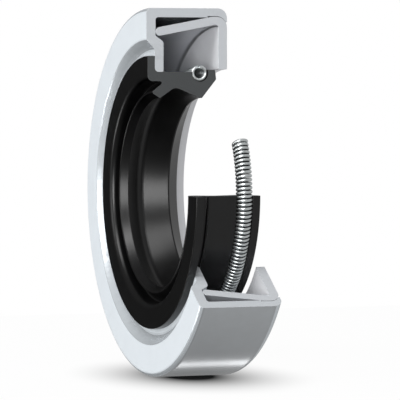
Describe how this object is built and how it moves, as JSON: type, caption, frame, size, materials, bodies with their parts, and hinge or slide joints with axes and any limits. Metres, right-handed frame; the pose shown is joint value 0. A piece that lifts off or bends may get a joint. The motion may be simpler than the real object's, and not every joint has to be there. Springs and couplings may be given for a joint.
{
  "type": "radial shaft seal",
  "caption": "Sectioned metal-cased radial shaft seal with an inner reinforcing case, a rubber sealing lip with a dust lip, and a coiled garter spring.",
  "frame": {"origin": "on the seal's axis, in the plane of its rear face", "axes": "+Z along the seal's axis, from the rear (spring side) to the front (air side); +X lies in the first cut face, and angles run from it towards +Y"},
  "size_m": [0.052, 0.0473, 0.0122],
  "materials": {
    "outer_case_steel": "satin",
    "inner_case_steel": "satin",
    "lip_rubber": "moulded, satin",
    "spring_wire": "bright drawn wire"
  },
  "bodies": {
    "root": {"outer_case": "outer_case_steel", "inner_case": "inner_case_steel", "sealing_lip": "lip_rubber", "garter_spring": "spring_wire"}
  },
  "joints": []
}
